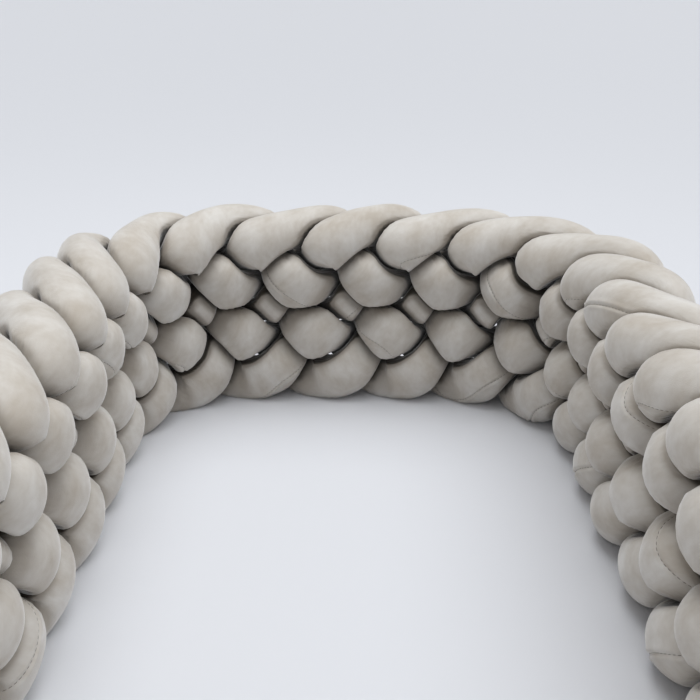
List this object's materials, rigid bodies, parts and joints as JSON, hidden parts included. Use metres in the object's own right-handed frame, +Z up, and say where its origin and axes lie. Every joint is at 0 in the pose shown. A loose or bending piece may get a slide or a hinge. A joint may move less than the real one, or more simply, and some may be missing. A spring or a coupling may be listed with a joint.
{
  "type": "plaited crib bumper",
  "caption": "Soft crib bumper: stuffed velvet tubes in a wide flat plait, standing on edge and bent into a deep U round a cot's head end.",
  "frame": {"origin": "middle of the box round the bumper, on the surface it stands on", "axes": "+Z up, +Y towards the closed head end of the U, +X to the right seen from the open end"},
  "size_m": [0.6422, 0.8206, 0.2183],
  "materials": {
    "velvet": "short-pile velvet, soft sheen"
  },
  "bodies": {
    "root": {"tube_1": "velvet", "tube_2": "velvet", "tube_3": "velvet", "tube_4": "velvet", "tube_5": "velvet", "tube_6": "velvet"}
  },
  "joints": []
}
